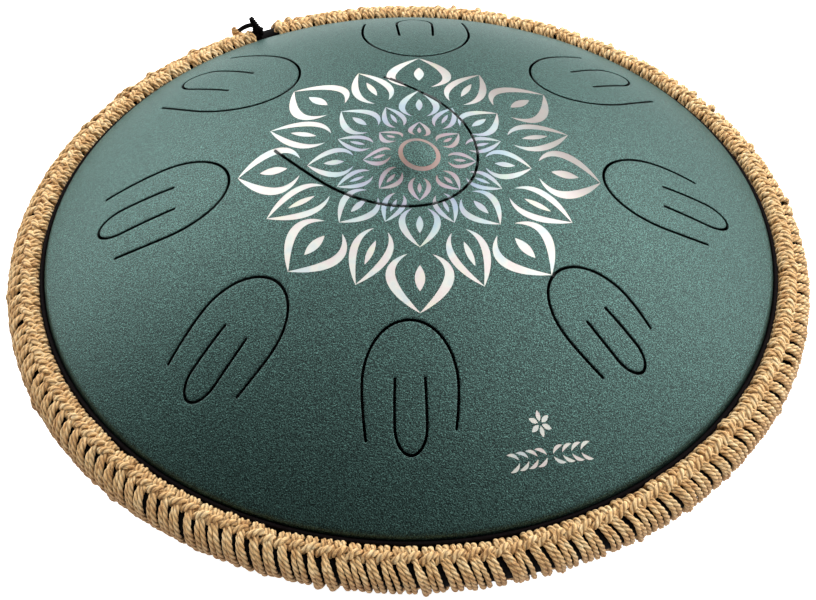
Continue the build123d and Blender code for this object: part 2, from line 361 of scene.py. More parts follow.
def inside_steel():
    """Uncoated inner face of the bowls and the cut edges of the slots, dull and near black: painted
    shade of the dark inside of the drum.
    """
    material, shader = new_material("inside_steel", {"Metallic": 0.4, "Roughness": 0.6})
    place = object_coordinates(material)
    mottle = noise(material, place, 60.0, 4.0, 0.6)
    # painted shade: near black steel inside the drum and in the slots
    colour = ramp(material, mottle, [(0.3, (0.006, 0.008, 0.008)), (0.7, (0.012, 0.015, 0.015))])
    link(material, colour, shader.inputs["Base Color"])
    bump(material, shader, noise(material, place, 900.0), 0.0001, 0.5)
    return material


def black_rubber():
    """Matte black rubber of the edge channel, with a faint moulded grain."""
    fixed = {"Roughness": 0.85, "Specular IOR Level": 0.05}
    material, shader = new_material("edge_rubber", fixed)
    place = object_coordinates(material)
    dust = noise(material, place, 240.0, 4.0, 0.6)
    colour = ramp(material, dust, [(0.35, (0.002, 0.002, 0.002)), (0.75, (0.006, 0.005, 0.005))])
    link(material, colour, shader.inputs["Base Color"])
    bump(material, shader, noise(material, place, 1400.0), 0.00012, 0.6)
    return material


def jute():
    """Twisted jute: golden tan plies with pale fibre tips, painted shade in the hollows between the
    plies and painted shade on the underside.
    The strands' UV map holds millimetres along and around them, so that the fibres run along them."""
    fixed = {
        "Roughness": 0.78,
        "Sheen Weight": 0.18,
        "Sheen Roughness": 0.5,
        "Sheen Tint": (1.0, 0.86, 0.62, 1.0),
    }
    material, shader = new_material("jute_rope", fixed)
    place = object_coordinates(material)
    strand = add_node(material, "ShaderNodeUVMap", uv_map="strand").outputs["UV"]
    stretched = vector_math(material, "MULTIPLY", strand, (0.55, 6.0, 1.0))
    fibres = noise(material, stretched, 1.0, 4.0, 0.7, 0.3)
    bump(material, shader, fibres, 0.0005, 0.9)
    patches = noise(material, place, 190.0, 3.0, 0.6)
    tones = [
        (0.33, (0.18, 0.070, 0.018)),
        (0.43, (0.60, 0.310, 0.100)),
        (0.52, (0.93, 0.610, 0.270)),
        (0.63, (1.00, 0.850, 0.530)),
    ]
    tone = ramp(material, weighted_sum(material, (fibres, 0.62), (patches, 0.38)), tones)
    # painted shade: darker down in the hollows between the plies
    hollow = add_node(material, "ShaderNodeAttribute", attribute_name="hollow").outputs["Fac"]
    shade = math_node(material, "MULTIPLY", hollow, 0.75)
    colour = mix_colour(material, shade, tone, (0.10, 0.038, 0.010))
    # painted shade: the rope's colour gets darker from the knots down to its underside
    low, high = [(MID_Z + height) * MM for height in UNDERSIDE_SHADE_HEIGHTS]
    underside_shade = map_range(material, height_in(material, place), low, high, UNDERSIDE_SHADE_SHARE, 0.0)
    colour = mix_colour(material, underside_shade, colour, (0.22, 0.095, 0.030))
    link(material, colour, shader.inputs["Base Color"])
    return material


def dark_cord():
    """Fine braided cord, brown-black and dull."""
    fixed = {"Roughness": 0.8, "Specular IOR Level": 0.05}
    material, shader = new_material("dark_cord", fixed)
    inputs = {"Vector": object_coordinates(material), "Scale": 1600.0}
    weave = add_node(material, "ShaderNodeTexVoronoi", inputs, feature="F1").outputs["Distance"]
    colour = ramp(material, weave, [(0.1, (0.007, 0.004, 0.005)), (0.6, (0.002, 0.001, 0.001))])
    link(material, colour, shader.inputs["Base Color"])
    bump(material, shader, weave, 0.0002, -0.8)
    return material


def cured_adhesive():
    """The thin dark bond line between the flanges."""
    material, shader = new_material("adhesive", {"Roughness": 0.5})
    mottle = noise(material, object_coordinates(material), 120.0)
    colour = ramp(material, mottle, [(0.3, (0.03, 0.03, 0.03)), (0.7, (0.07, 0.07, 0.07))])
    link(material, colour, shader.inputs["Base Color"])
    return material


# --- mesh helpers ---
SMOOTH_ANGLE = math.radians(42)
LATHE_STEPS = 360              # segments round a lathed piece


def finish_mesh(name, mesh, materials, replaced):
    """Put a mesh, made in millimetres, into the scene as a piece that rides on the drum."""
    for material in materials:
        mesh.materials.append(material)
    mesh.transform(Matrix.Scale(MM, 4))
    mesh.polygons.foreach_set("use_smooth", [True] * len(mesh.polygons))
    mesh.set_sharp_from_angle(angle=SMOOTH_ANGLE)
    piece = add_object(name, mesh)
    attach(piece, "root")
    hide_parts(*replaced)
    return piece


def arc_points(centre, radius, start, end, steps):
    """Points along an arc of a profile, angles in degrees."""
    angles = np.radians(np.linspace(start, end, steps + 1))
    return [(centre[0] + radius * math.cos(a), centre[1] + radius * math.sin(a)) for a in angles]


def lathe(name, profile, materials, indices, replaced):
    """Turn a closed profile of (radius, height) points about the axis. indices holds the
    material of each stretch between neighbouring points."""
    count = len(profile)
    angles = np.linspace(0, 2 * math.pi, LATHE_STEPS, endpoint=False)
    radius, height = np.array(profile).T
    verts = np.empty((LATHE_STEPS, count, 3))
    verts[..., 0] = radius * np.cos(angles)[:, None]
    verts[..., 1] = radius * np.sin(angles)[:, None]
    verts[..., 2] = height + MID_Z
    index = np.arange(LATHE_STEPS * count).reshape(LATHE_STEPS, count)
    ahead = np.roll(index, -1, axis=0)
    corners = [index, ahead, np.roll(ahead, -1, axis=1), np.roll(index, -1, axis=1)]
    faces = np.stack(corners, axis=-1).reshape(-1, 4)
    mesh = bpy.data.meshes.new(name)
    mesh.from_pydata(verts.reshape(-1, 3).tolist(), [], faces.tolist())
    mesh.polygons.foreach_set("material_index", indices * LATHE_STEPS)
    made = bmesh.new()
    made.from_mesh(mesh)
    bmesh.ops.recalc_face_normals(made, faces=made.faces)
    made.to_mesh(mesh)
    made.free()
    finish_mesh(name, mesh, materials, replaced)


# --- the two bowls ---
RIM_STEPS = 720                # segments round the bowls
GRID_STEP = 2.8                # spacing of the vertices that carry the upper bowl's curve
GRID_CLEAR = 0.8               # distance that they keep from cut outlines
EDGE_ROUND = 1.1               # width of the rounding of the coat at a slot's edge
EDGE_DEPTH = 0.3               # and its depth
EDGE_LOOPS = (0.15, 0.5, EDGE_ROUND)    # distances from the slot of the points that carry it
SAMPLE_STEP = 0.1              # spacing of the points that distances to an outline are taken from
TIP_STEPS = 44                 # steps round a tongue's end, along a leg and round a slot's end
LEG_STEPS = 11
CAP_STEPS = 8
STROKE_STEPS = 24
STROKE_TAPER = 0.85            # how full a stroke stays towards its ends


def bowl_height(radius):
    """Height of the upper bowl's outer face above the flange mid-plane, with its centre dome."""
    if radius > DOME_FOOT:
        return BOWL_CENTRE + math.sqrt(BOWL_RADIUS ** 2 - radius ** 2)
    foot = math.acos(DOME_FOOT / BOWL_RADIUS)
    reach = BOWL_RADIUS + DOME_FILLET
    fillet = (reach * math.cos(foot), BOWL_CENTRE + reach * math.sin(foot))
    drop = math.sqrt((DOME_CROWN + DOME_FILLET) ** 2 - fillet[0] ** 2)
    if radius > fillet[0] * DOME_CROWN / (DOME_CROWN + DOME_FILLET):
        return fillet[1] - math.sqrt(DOME_FILLET ** 2 - (fillet[0] - radius) ** 2)
    return fillet[1] - drop + math.sqrt(DOME_CROWN ** 2 - radius ** 2)


def knuckle_of(centre_height):
    """Centre of a bowl's knuckle, and the angle at which the bowl runs into it."""
    reach = BOWL_RADIUS - KNUCKLE
    run = WALL_RADIUS - KNUCKLE
    height = centre_height + math.sqrt(reach ** 2 - run ** 2)
    return (run, height), 90 - math.degrees(math.asin(run / reach))


def rim_points(centre_height, inset):
    """Profile from the knuckle to the flange's edge, for a face inset from the outer one."""
    knuckle, meet = knuckle_of(centre_height)
    foot = (WALL_RADIUS + FOOT_FILLET, FLANGE_FACE + FOOT_FILLET)
    points = arc_points(knuckle, KNUCKLE - inset, meet, 0, 8)
    points += arc_points(foot, FOOT_FILLET + inset, 180, 270, 6)
    points.append((FLANGE_RADIUS, FLANGE_FACE - inset))
    return points


def slot_outline(tip, half_width, leg_ends, crown, way, grow):
    """Outline of a slot round a tongue, grown by a distance. The tongue lies along X."""
    shoulder = tip + way * crown * half_width
    reach = SLOT_WIDTH / 2 + grow
    close = half_width * (1 - LEG_TAPER)

    def tip_end(sign):
        turn = np.linspace(0, math.pi, TIP_STEPS + 1)
        x = shoulder - way * (crown * half_width + sign * reach) * np.sin(turn)
        return np.column_stack([x, (half_width + sign * reach) * np.cos(turn)])

    def leg(side, sign, leg_end):
        t = np.linspace(0, 1, LEG_STEPS + 1)[1:]
        y = half_width - (half_width - close) * t * t + sign * reach
        return np.column_stack([shoulder + (leg_end - shoulder) * t, side * y])

    def cap(side, leg_end, sign):
        turn = np.linspace(0, math.pi, CAP_STEPS + 1)[1:-1]
        x = leg_end + way * reach * np.sin(turn)
        return np.column_stack([x, side * (close + sign * reach * np.cos(turn))])

    return np.vstack([
        leg(1, 1, leg_ends[0])[::-1],
        tip_end(1),
        leg(-1, 1, leg_ends[1]),
        cap(-1, leg_ends[1], 1),
        leg(-1, -1, leg_ends[1])[::-1],
        tip_end(-1)[::-1],
        leg(1, -1, leg_ends[0]),
        cap(1, leg_ends[0], -1),
    ])


def turned(points, degrees):
    """Turn plan points about the origin."""
    a = math.radians(degrees)
    matrix = np.array([[math.cos(a), math.sin(a)], [-math.sin(a), math.cos(a)]])
    return np.asarray(points) @ matrix


def all_slots(grow):
    """The outlines of every slot in the plan of the drum."""
    azimuth, tip, half_width, leg_end = CENTRE_NOTE
    centre = slot_outline(tip, half_width, (leg_end, leg_end), CROWN_DEPTH, 1, grow)
    outlines = [turned(centre, azimuth)]
    for azimuth, tip, shift, lean, half_width, leg_end, octave_base, octave_tip in NOTES:
        legs = (leg_end - LEG_STEP / 2 - tip, leg_end + LEG_STEP / 2 - tip)
        octave_legs = (octave_base - tip, octave_base - tip)
        octave_width = half_width * OCTAVE_WIDTH
        note = slot_outline(0, half_width, legs, CROWN_DEPTH, 1, grow)
        octave = slot_outline(octave_tip - tip, octave_width, octave_legs, OCTAVE_CROWN, -1, grow)
        for outline in (note, octave):
            placed = turned(outline, -lean) + np.array([tip, -shift])
            outlines.append(turned(placed, azimuth))
    return outlines


def stroke_outline(control, width):
    """A tapering stroke along a cubic curve."""
    t = np.linspace(0, 1, STROKE_STEPS + 1)[:, None]
    p = np.array(control, dtype=float)
    line = (1 - t) ** 3 * p[0] + 3 * t * (1 - t) ** 2 * p[1] + 3 * t * t * (1 - t) * p[2] + t ** 3 * p[3]
    along = np.gradient(line, axis=0)
    along /= np.linalg.norm(along, axis=1)[:, None]
    across = np.column_stack([-along[:, 1], along[:, 0]])
    half = width / 2 * np.sin(math.pi * t) ** STROKE_TAPER
    left = line + across * half
    right = line - across * half
    return np.vstack([left, right[-2:0:-1]])


def petal_strokes(tip, foot, half_width, width, leaf):
    """The two mirrored outlines of one petal and the leaf inside it, as curves and widths."""
    length = tip - foot
    side = [(tip, -TIP_OVERLAP)]
    side += [(tip - share * length, across * half_width) for share, across in PETAL_SIDE]
    spine = [(tip - share * length, 0.0) for share in np.linspace(*LEAF_SPAN, len(side))]
    return [(np.array(side), width), (np.array(side) * (1, -1), width), (np.array(spine), leaf)]


def pattern_outlines():
    """Every stroke of the engraved lotus in the plan of the drum."""
    outlines = []
    for fold in range(PATTERN_FOLD):
        for offset, *petal in PETAL_TIERS:
            turn = (fold + offset) * 360 / PATTERN_FOLD
            for points, width in petal_strokes(*petal):
                outline = stroke_outline(points, width)
                outlines.append(turned(outline, turn) + PATTERN_CENTRE)
    return outlines


def sprig_outlines():
    """A small rosette over a row of mirrored leaves, in place of any lettering."""
    radius, azimuth, tilt = SPRIG
    middle = turned([(radius, 0.0)], azimuth)[0]
    shapes = []
    for petal in range(SPRIG_PETALS):
        turn = math.radians(90 + petal * 360 / SPRIG_PETALS)
        way = (math.cos(turn), math.sin(turn))
        shapes.append((SPRIG_ROSETTE + np.outer(ROSETTE_RUN, way), ROSETTE_WIDTH))
    for side in (1, -1):
        for index in range(SPRIG_LEAVES):
            leaf = np.array(SPRIG_LEAF) + (SPRIG_STEP * index, 0.0)
            for lift in (1, -1):
                shapes.append((leaf * (side, lift), SPRIG_LEAF_WIDTH))
    return [turned(stroke_outline(shape, width), tilt) + middle for shape, width in shapes]


def circle_outline(centre, radius, steps):
    """A circle in the plan of the drum."""
    a = np.linspace(0, 2 * math.pi, steps, endpoint=False)
    return np.column_stack([centre[0] + radius * np.cos(a), centre[1] + radius * np.sin(a)])


def anticlockwise(outline):
    """The outline in anticlockwise order, which the triangulation needs."""
    following = np.roll(outline, -1, axis=0)
    area = np.sum(outline[:, 0] * following[:, 1] - following[:, 0] * outline[:, 1])
    return outline if area > 0 else outline[::-1]


def dense(outline):
    """Points every SAMPLE_STEP along a closed outline."""
    following = np.roll(outline, -1, axis=0)
    parts = []
    for a, b in zip(outline, following):
        count = max(1, int(np.linalg.norm(b - a) / SAMPLE_STEP))
        parts.append(a + (b - a) * (np.arange(count) / count)[:, None])
    return np.vstack(parts)


def tree_of(points):
    """A search tree over plan points."""
    tree = KDTree(len(points))
    for index, point in enumerate(points):
        tree.insert((point[0], point[1], 0.0), index)
    tree.balance()
    return tree


def grid_points(limit, avoid):
    """A triangular grid over the bowl that stays clear of every outline."""
    every_fourth = slice(None, None, 4)
    tree = tree_of(np.vstack([dense(outline)[every_fourth] for outline in avoid]))
    rise = GRID_STEP * math.sqrt(3) / 2
    rows = int(limit / rise)
    columns = int(limit / GRID_STEP)
    points = []
    for row in range(-rows, rows + 1):
        y = row * rise
        start = GRID_STEP / 2 if row % 2 else 0.0
        for column in range(-columns, columns + 1):
            x = start + column * GRID_STEP
            inside = math.hypot(x, y) < limit - GRID_CLEAR
            if inside and tree.find((x, y, 0.0))[2] > GRID_CLEAR:
                points.append((x, y))
    return points


def edge_drop(distance):
    """How far the rounded coat has fallen at a distance from a slot's edge."""
    if distance >= EDGE_ROUND:
        return 0.0
    share = 1 - distance / EDGE_ROUND
    return EDGE_DEPTH * (1 - math.sqrt(1 - share ** 2))


def bowl_plan(limit):
    """Triangulate the bowl's plan. Returns its points, its triangles, which are engraved, and a
    search tree over the slots' edges."""
    slots = all_slots(0.0)
    strokes = pattern_outlines() + sprig_outlines()
    rings = [circle_outline(PATTERN_CENTRE, radius, RIM_STEPS // 10) for radius in PATTERN_RING]
    loops = [outline for grow in EDGE_LOOPS for outline in all_slots(grow)]
    filled = slots + strokes + rings
    verts = []
    edges = []
    faces = []
    for number, outline in enumerate(filled + loops + [circle_outline((0, 0), limit, RIM_STEPS)]):
        first = len(verts)
        verts.extend(Vector(point) for point in anticlockwise(outline))
        loop = list(range(first, len(verts)))
        if number < len(filled):
            faces.append(loop)
        else:
            edges.extend(zip(loop, loop[1:] + loop[:1]))
    verts.extend(Vector(point) for point in grid_points(limit, filled + loops))
    points, _, triangles, _, _, inside = delaunay_2d_cdt(verts, edges, faces, 0, 1e-5, True)
    slot_numbers = set(range(len(slots)))
    inner_ring = len(slots) + len(strokes)
    stroke_numbers = set(range(len(slots), inner_ring))
    kept = []
    engraved = []
    for triangle, within in zip(triangles, map(set, inside)):
        if not within & slot_numbers:
            in_ring = inner_ring + 1 in within and inner_ring not in within
            kept.append(triangle)
            engraved.append(in_ring or bool(within & stroke_numbers))
    return points, kept, engraved, tree_of(np.vstack([dense(outline) for outline in slots]))


def rim_ring(made, border, profile):
    """Run the bowl's border over the knuckle, down the wall and out along the flange."""
    angles = [math.atan2(vert.co.y, vert.co.x) for vert in border]
    previous = border
    for radius, height in profile[1:]:
        ring = [
            made.verts.new((radius * math.cos(a), radius * math.sin(a), height + MID_Z))
            for a in angles
        ]
        for i in range(len(ring)):
            j = (i + 1) % len(ring)
            made.faces.new((previous[i], ring[i], ring[j], previous[j]))
        previous = ring


def engrave(made, metal):
    """Lower the engraved faces by the pattern's depth, with walls round them."""
    lowered = bmesh.ops.extrude_face_region(made, geom=metal)
    moved = [item for item in lowered["geom"] if isinstance(item, bmesh.types.BMVert)]
    bmesh.ops.delete(made, geom=metal, context="FACES")
    bmesh.ops.translate(made, verts=moved, vec=(0, 0, -PATTERN_DEPTH))


def upper_bowl(coat, engraved_metal, inside):
    """The upper bowl: tongues cut by rounded slots, and the pattern cut through the coat."""
    profile = rim_points(BOWL_CENTRE, 0)
    limit = profile[0][0]
    points, triangles, engraved, tree = bowl_plan(limit)
    made = bmesh.new()
    verts = []
    for point in points:
        height = bowl_height(min(point.length, limit))
        drop = edge_drop(tree.find((*point, 0.0))[2])
        verts.append(made.verts.new((*point, MID_Z + height - drop)))
    metal = []
    for triangle, is_metal in zip(triangles, engraved):
        face = made.faces.new([verts[index] for index in triangle])
        face.material_index = int(is_metal)
        if is_metal:
            metal.append(face)
    loose = [vert for vert in made.verts if not vert.link_faces]
    bmesh.ops.delete(made, geom=loose, context="VERTS")
    border = [vert for vert in made.verts if math.hypot(vert.co.x, vert.co.y) > limit - 1e-3]
    border.sort(key=lambda vert: math.atan2(vert.co.y, vert.co.x))
    rim_ring(made, border, profile)
    engrave(made, metal)
    bmesh.ops.recalc_face_normals(made, faces=made.faces)
    made.faces.ensure_lookup_table()
    top = max(made.faces, key=lambda face: face.calc_center_median().z)
    if top.normal.z < 0:
        bmesh.ops.reverse_faces(made, faces=made.faces)
    mesh = bpy.data.meshes.new("upper_bowl")
    made.to_mesh(mesh)
    made.free()
    materials = [coat, engraved_metal, inside, inside]
    piece = finish_mesh("upper_bowl", mesh, materials, ["tongue_shell"])
    thicken = piece.modifiers.new("sheet", "SOLIDIFY")
    thicken.thickness = SHEET * MM
    thicken.offset = -1.0
    thicken.material_offset = 2
    thicken.material_offset_rim = 2


def lower_bowl(coat, inside):
    """The lower bowl: flat resting land and the rolled neck of the sound port."""
    rise = math.sqrt((BOWL_RADIUS - LAND_BLEND) ** 2 - LAND_RADIUS ** 2)
    centre_height = MID_Z - LAND_BLEND - rise
    start = math.degrees(math.atan2(rise, LAND_RADIUS))
    _, meet = knuckle_of(centre_height)
    blend = (LAND_RADIUS, MID_Z - LAND_BLEND)
    bend = (PORT_RADIUS + PORT_BEND, MID_Z - PORT_BEND)

    def side(inset):
        points = [(PORT_RADIUS + inset, MID_Z - NECK_HEIGHT)]
        points += arc_points(bend, PORT_BEND - inset, 180, 90, 10)
        points += arc_points(blend, LAND_BLEND - inset, 90, start, 10)
        points += arc_points((0, centre_height), BOWL_RADIUS - inset, start, meet, 60)[1:-1]
        return points + rim_points(centre_height, inset)

    outer = side(0)
    inner = side(SHEET)
    profile = [(radius, -height) for radius, height in outer + inner[::-1]]
    indices = [0] * len(outer) + [1] * len(inner)
    lathe("lower_bowl", profile, [coat, inside], indices, ["resonator_shell"])


def rubber_channel(rubber):
    """The rubber edge channel, pushed over both flanges."""
    corner = BUMPER_HEIGHT / 2 - BUMPER_ROUND
    outer = BUMPER_OUTER - BUMPER_ROUND
    inner = BUMPER_INNER + BUMPER_ROUND
    profile = []
    for centre, start in (
        ((inner, corner), 180),
        ((outer, corner), 90),
        ((outer, -corner), 0),
        ((inner, -corner), -90),
    ):
        profile += arc_points(centre, BUMPER_ROUND, start, start - 90, 10)
    profile += [
        (BUMPER_INNER, -FLANGE_FACE),
        (FLANGE_RADIUS, -FLANGE_FACE),
        (FLANGE_RADIUS, FLANGE_FACE),
        (BUMPER_INNER, FLANGE_FACE),
    ]
    indices = [0] * len(profile)
    lathe("rubber_channel", profile, [rubber], indices, ["rim_bumper"])


# --- the rope binding ---
STITCHES = 174                 # stitches round the drum, all but the gap
PITCH = (360 - GAP_ANGLE) / STITCHES
PITCH_RUN = math.radians(PITCH) * BUMPER_OUTER
ROPE_PARTS = 8                 # pieces that the binding is split into
STRAND = 1.42                  # radius of a strand
STRAND_SPREAD = 0.05           # spread of that radius, as a share
STRAND_CENTRE = 194.0          # the strands' path: its middle, its reach and its squareness
STRAND_REACH = 9.35
STRAND_SQUARE = 2.3
STRAND_TURN = 118              # degrees from the nose at which a strand goes under its knot
RING_STEP = 0.5
PLIES = 3
AROUND = 12                    # vertices round a strand
PLY_CENTRE = 0.42              # a ply's middle and radius, as a share of the strand's radius
PLY_RADIUS = 0.58
LAY = 9.5                      # length of one full turn of the plies
PAIR_AT_KNOT = 0.8             # half the spacing of a stitch's two strands
PAIR_AT_NOSE = 1.5
LEAN = 1.5                     # how far the strands lean on the nose, past the middle of a pitch
LEAN_SPREAD = 0.5              # spread of the lean, of a strand on the nose and at its ends
NOSE_SPREAD = 0.35
END_SPREAD = 0.15
LAST_EASE = (1.0, 2.2, 4.0)    # how much less the last stitches before the gap lean
CROSSING = 0.10                # share of the stitches whose strands cross
CROSSED_BY = 1.2               # how far those go past their stitch's middle
TOUCHING = 0.78                # spacing, in strand widths, below which one strand climbs another
LIFT_LIMIT = 1.3               # most that it climbs
LIFT_BLEND = 13                # rings over which the climb is spread
SWAY = 0.22                    # height of a strand's slow waves, and their count
SWAY_WAVES = 2.5


def ply_section():
    """Angle, radius share and depth in a hollow of each vertex round a three-ply strand."""
    turn = math.pi / PLIES + np.arange(AROUND) * 2 * math.pi / AROUND
    lobe = 2 * math.pi / PLIES
    across = (turn + lobe / 2) % lobe - lobe / 2
    share = PLY_CENTRE * np.cos(across) + np.sqrt(PLY_RADIUS ** 2 - (PLY_CENTRE * np.sin(across)) ** 2)
    return turn, share, (1 - share) / (1 - share.min())


def through(points, steps):
    """A smooth line through a few points (Catmull-Rom), for many lines at once."""
    before = 2 * points[..., :1, :] - points[..., 1:2, :]
    after = 2 * points[..., -1:, :] - points[..., -2:-1, :]
    points = np.concatenate([before, points, after], axis=-2)
    t = np.linspace(0, 1, steps, endpoint=False)[:, None]
    parts = []
    for i in range(points.shape[-2] - 3):
        a, b, c, d = (points[..., i + k, None, :] for k in range(4))
        curve = 2 * b + (c - a) * t + (2 * a - 5 * b + 4 * c - d) * t ** 2
        parts.append(0.5 * (curve + (3 * b - a - 3 * c + d) * t ** 3))
    parts.append(points[..., -2:-1, :])
    return np.concatenate(parts, axis=-2)


def on_drum(local, azimuths):
    """Turn (radius, sideways, height) lines, one for each azimuth, into the drum's frame."""
    angle = np.radians(azimuths)[:, None]
    x = local[..., 0] * np.cos(angle) - local[..., 1] * np.sin(angle)
    y = local[..., 0] * np.sin(angle) + local[..., 1] * np.cos(angle)
    return np.stack([x, y, local[..., 2] + MID_Z], axis=-1)


def strands(paths, radii, phases, lay=LAY):
    """Three-ply tubes along paths. Returns vertices, hollows and distances along the paths."""
    turn, share, hollow = ply_section()
    along = np.gradient(paths, axis=1)
    along /= np.linalg.norm(along, axis=2)[..., None]
    normal = np.empty_like(paths)
    last = np.cross(along[:, 0], (0.37, -0.61, 0.70))
    for k in range(paths.shape[1]):
        last = last - (last * along[:, k]).sum(axis=1)[:, None] * along[:, k]
        last /= np.linalg.norm(last, axis=1)[:, None]
        normal[:, k] = last
    side = np.cross(along, normal)
    steps = np.linalg.norm(np.diff(paths, axis=1), axis=2)
    run = np.concatenate([np.zeros((len(paths), 1)), np.cumsum(steps, axis=1)], axis=1)
    angle = (phases[:, None] - 2 * math.pi * run / lay)[..., None] + turn
    reach = (radii[..., None] * share)[..., None]
    verts = paths[:, :, None, :] + reach * (
        np.cos(angle)[..., None] * normal[:, :, None, :] + np.sin(angle)[..., None] * side[:, :, None, :]
    )
    return verts, np.broadcast_to(hollow, angle.shape), run


def strand_mesh(name, groups, material, replaced):
    """One mesh from groups of tubes. Each group is what strands() returned."""
    verts = []
    hollows = []
    corners = []
    totals = []
    maps = []
    first = 0
    for points, hollow, run in groups:
        tubes, rings, around, _ = points.shape
        index = first + np.arange(tubes * rings * around).reshape(tubes, rings, around)
        following = np.roll(index, -1, axis=2)
        quads = np.stack([index[:, :-1], following[:, :-1], following[:, 1:], index[:, 1:]], axis=-1)
        ends = np.concatenate([index[:, 0, ::-1], index[:, -1]], axis=0)
        width = 2 * math.pi * STRAND / around
        u = np.broadcast_to(run[:, :, None], index.shape)
        v = np.broadcast_to(np.arange(around) * width, index.shape)
        low = np.stack([u, v], axis=-1)[:, :-1]
        high = np.stack([u, v], axis=-1)[:, 1:]
        places = [low, low + (0, width), high + (0, width), high]
        corners += [quads.reshape(-1), ends.reshape(-1)]
        totals += [np.full(quads.size // 4, 4), np.full(len(ends), around)]
        maps += [np.stack(places, axis=-2).reshape(-1, 2), np.zeros((ends.size, 2))]
        verts.append(points.reshape(-1, 3))
        hollows.append(hollow.reshape(-1))
        first += index.size
    totals = np.concatenate(totals)
    mesh = bpy.data.meshes.new(name)
    mesh.vertices.add(first)
    mesh.vertices.foreach_set("co", np.concatenate(verts).astype(np.float32).ravel())
    mesh.loops.add(totals.sum())
    mesh.loops.foreach_set("vertex_index", np.concatenate(corners).astype(np.int32))
    mesh.polygons.add(len(totals))
    mesh.polygons.foreach_set("loop_start", (np.cumsum(totals) - totals).astype(np.int32))
    mesh.update(calc_edges=True)
    layer = mesh.uv_layers.new(name="strand")
    layer.data.foreach_set("uv", np.concatenate(maps).astype(np.float32).ravel())
    depth = mesh.attributes.new("hollow", "FLOAT", "POINT")
    depth.data.foreach_set("value", np.concatenate(hollows).astype(np.float32))
    finish_mesh(name, mesh, [material], replaced)


def rounded_power(value, power):
    """A power that keeps the sign."""
    return np.sign(value) * np.abs(value) ** power


def stitch_lines(rng, share):
    """Sideways course of every stitch's left strands and right strands, from knot to knot."""
    pair = rng.normal(LEAN, LEAN_SPREAD, STITCHES)
    pair[-len(LAST_EASE):] -= LAST_EASE
    sides = []
    for sign in (-1, 1):
        top = sign * PAIR_AT_KNOT + rng.normal(0, END_SPREAD, STITCHES)
        nose = sign * (PAIR_AT_NOSE - PAIR_AT_KNOT) + pair + rng.normal(0, NOSE_SPREAD, STITCHES)
        foot = PITCH_RUN + sign * PAIR_AT_KNOT + rng.normal(0, END_SPREAD, STITCHES)
        sides.append((sign, top, nose, foot))
    swap = np.where(rng.random(STITCHES) < CROSSING, PAIR_AT_NOSE + CROSSED_BY, 0.0)
    even = share * share * (3 - 2 * share)
    spread = np.sin(math.pi * share) ** 2
    return [
        top[:, None] + (foot - top)[:, None] * even + (nose - sign * swap)[:, None] * spread
        for sign, top, nose, foot in sides
    ]


def strand_lift(left, right):
    """How far the right strands climb over a left one, their own stitch's or the next's."""
    touch = 2 * STRAND * TOUCHING
    gap = np.minimum(np.abs(right - left), np.abs(np.roll(left, -1, axis=0) + PITCH_RUN - right))
    lift = np.sqrt(np.maximum(touch ** 2 - gap ** 2, 0))
    kernel = np.hanning(LIFT_BLEND) / np.hanning(LIFT_BLEND).sum()
    margin = LIFT_BLEND // 2
    lift = np.array([np.convolve(np.pad(row, margin, "edge"), kernel, "valid") for row in lift])
    return np.minimum(lift, LIFT_LIMIT)


def wrap_lines(rng):
    """The two strands of every stitch, from the upper knots over the nose to the lower ones."""
    rings = int(STRAND_REACH * 2 * math.radians(STRAND_TURN) / RING_STEP)
    alpha = np.radians(np.linspace(STRAND_TURN, -STRAND_TURN, rings))
    share = np.linspace(0, 1, rings)
    lines = stitch_lines(rng, share)
    fade = np.sin(math.pi * share)
    lifts = (0.0, strand_lift(*lines) * fade ** 0.5)
    waves = rng.uniform(0, 2 * math.pi, (2, STITCHES, 1))
    paths = []
    for line, lift, wave in zip(lines, lifts, waves):
        sway = SWAY * np.sin(SWAY_WAVES * 2 * math.pi * share + wave) * fade
        reach = STRAND_REACH + (lift + sway)
        radius = STRAND_CENTRE + reach * rounded_power(np.cos(alpha), 2 / STRAND_SQUARE)
        height = reach * rounded_power(np.sin(alpha), 2 / STRAND_SQUARE)
        paths.append(np.stack([radius, line * radius / BUMPER_OUTER, height], axis=-1))
    return paths


# A knot's short loops, as radius and height, and the strand across them, also with its sideways
# place. Heights are above the flange mid-plane.
LOOP_LINE = ((188.9, 5.6), (188.6, 8.6), (189.9, 11.1), (192.2, 11.6), (194.0, 9.6))
LOOP_SIDE = 1.42               # how far the loops are from the knot's middle
CROSS_LINE = (
    (194.7, -3.4, 6.6),
    (195.7, -2.9, 8.7),
    (195.5, -1.3, 10.4),
    (194.6, 0.7, 11.6),
    (193.5, 2.5, 11.5),
    (192.4, 3.3, 9.4),
)
KNOT_RADII = (1.5, 1.5, 1.9)   # the two loops and the strand across them
KNOT_SPREAD = 0.3              # how much the knots stray from their place
POINT_SPREAD = (0.12, 0.12, 0.18)    # and the points of their three cords
KNOT_STEPS = 6                 # rings between two of those points


def knot_lines(rng, side):
    """The two short loops and the crossing strand of every knot on one side of the rim."""
    drift = rng.normal(0, KNOT_SPREAD, (STITCHES, 1, 3))
    cords = [[(radius, sign * LOOP_SIDE, height) for radius, height in LOOP_LINE] for sign in (-1, 1)]
    lines = []
    for points, spread in zip((*cords, CROSS_LINE), POINT_SPREAD):
        local = np.array(points) + drift + rng.normal(0, spread, (STITCHES, len(points), 3))
        lines.append(through(local * (1, side, side), KNOT_STEPS))
    return lines


